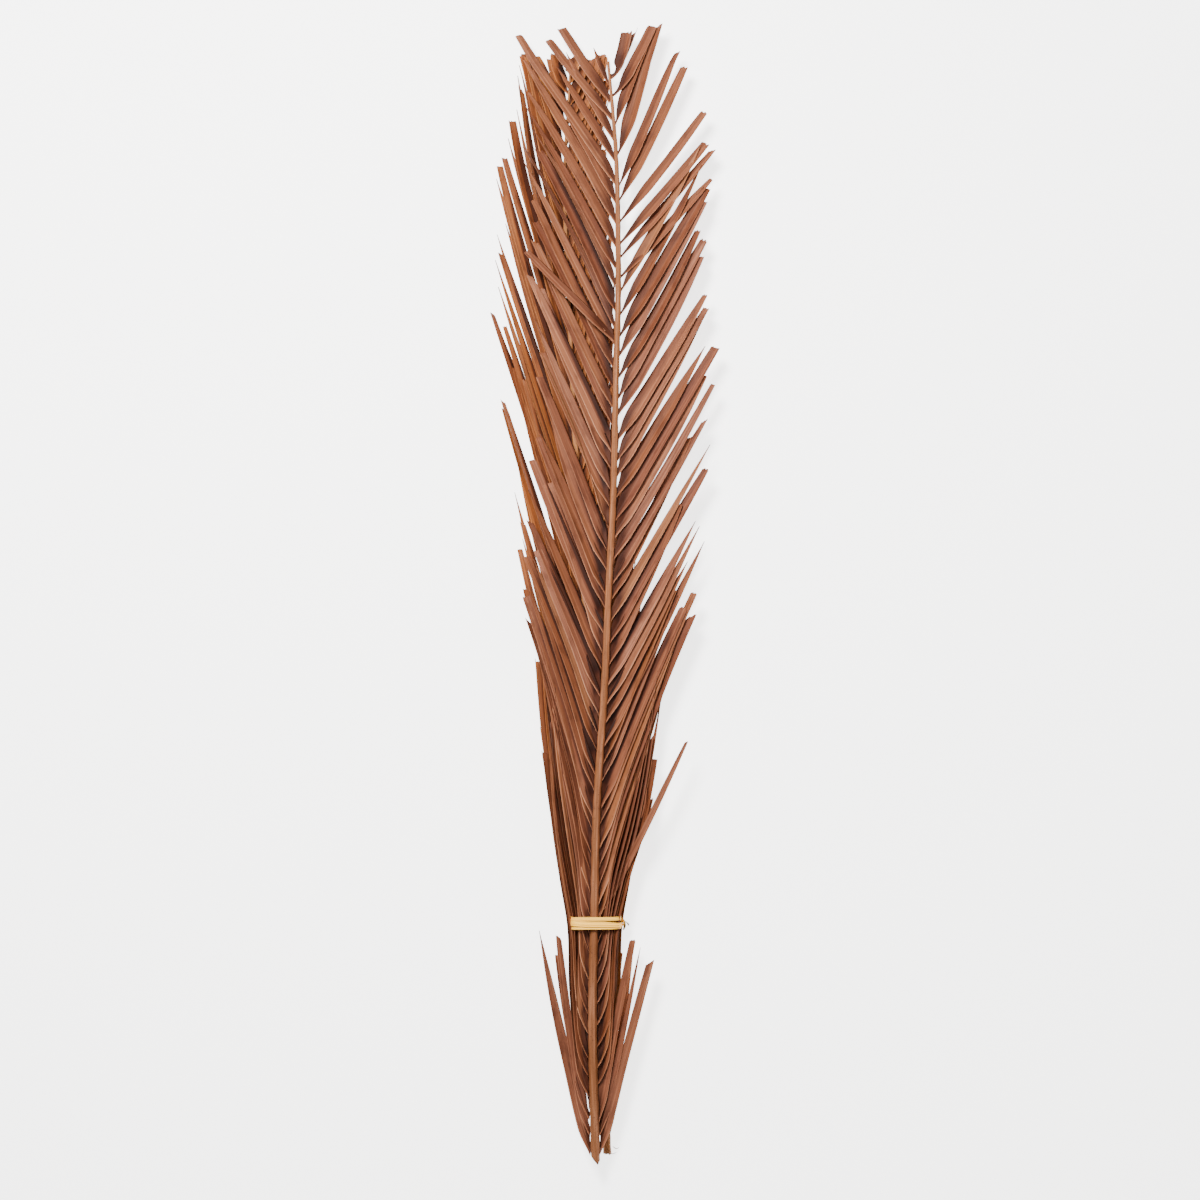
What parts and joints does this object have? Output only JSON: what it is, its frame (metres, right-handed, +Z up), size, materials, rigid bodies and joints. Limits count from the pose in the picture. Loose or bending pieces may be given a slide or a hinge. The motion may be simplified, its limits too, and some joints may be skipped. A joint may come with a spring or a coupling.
{
  "type": "bunch of dried date palm fronds",
  "caption": "Bunch of dried date palm fronds, pinkish brown and tan, with long narrow folded leaflets, tied near the cut stem ends with pale raffia; it lies flat.",
  "frame": {"origin": "centre of the underside of the bunch's box, on the surface it rests on", "axes": "+Y along the bunch from the cut stem ends to the leaflet tips, +X across it, +Z up"},
  "size_m": [0.2252, 1.1386, 0.0448],
  "materials": {
    "rachis_front": "dry matte stem skin with lengthwise grooves and small dark specks",
    "rachis_back": "dry matte stem skin, warmer and more golden, fibrous cut end",
    "leaflets_front": "dry matte leaf blade, dusty pinkish brown, fine lengthwise veins",
    "leaflets_back": "dry matte leaf blade, warm orange brown, fine lengthwise veins",
    "raffia": "pale cream flat plant fibre, slightly silky"
  },
  "bodies": {
    "root": {"rachis_front": "rachis_front", "leaflets_front_left_01": "leaflets_front", "leaflets_front_left_02": "leaflets_front", "leaflets_front_left_03": "leaflets_front", "leaflets_front_left_04": "leaflets_front", "leaflets_front_left_05": "leaflets_front", "leaflets_front_left_06": "leaflets_front", "leaflets_front_left_07": "leaflets_front", "leaflets_front_left_08": "leaflets_front", "leaflets_front_left_09": "leaflets_front", "leaflets_front_left_10": "leaflets_front", "leaflets_front_left_11": "leaflets_front", "leaflets_front_left_12": "leaflets_front", "leaflets_front_right_01": "leaflets_front", "leaflets_front_right_02": "leaflets_front", "leaflets_front_right_03": "leaflets_front", "leaflets_front_right_04": "leaflets_front", "leaflets_front_right_05": "leaflets_front", "leaflets_front_right_06": "leaflets_front", "leaflets_front_right_07": "leaflets_front", "leaflets_front_right_08": "leaflets_front", "leaflets_front_right_09": "leaflets_front", "leaflets_front_right_10": "leaflets_front", "leaflets_front_right_11": "leaflets_front", "leaflets_front_right_12": "leaflets_front", "rachis_back": "rachis_back", "leaflets_back_left_01": "leaflets_back", "leaflets_back_left_02": "leaflets_back", "leaflets_back_left_03": "leaflets_back", "leaflets_back_left_04": "leaflets_back", "leaflets_back_left_05": "leaflets_back", "leaflets_back_left_06": "leaflets_back", "leaflets_back_left_07": "leaflets_back", "leaflets_back_left_08": "leaflets_back", "leaflets_back_left_09": "leaflets_back", "leaflets_back_left_10": "leaflets_back", "leaflets_back_left_11": "leaflets_back", "leaflets_back_left_12": "leaflets_back", "leaflets_back_right_01": "leaflets_back", "leaflets_back_right_02": "leaflets_back", "leaflets_back_right_03": "leaflets_back", "leaflets_back_right_04": "leaflets_back", "leaflets_back_right_05": "leaflets_back", "leaflets_back_right_06": "leaflets_back", "leaflets_back_right_07": "leaflets_back", "leaflets_back_right_08": "leaflets_back", "leaflets_back_right_09": "leaflets_back", "leaflets_back_right_10": "leaflets_back", "leaflets_back_right_11": "leaflets_back", "leaflets_back_right_12": "leaflets_back", "leaflet_front_left_crossing": "leaflets_front", "leaflet_front_right_stray": "leaflets_front", "raffia_strand_1": "raffia", "raffia_strand_2": "raffia", "raffia_knot": "raffia", "raffia_end_1": "raffia", "raffia_end_2": "raffia"}
  },
  "joints": []
}
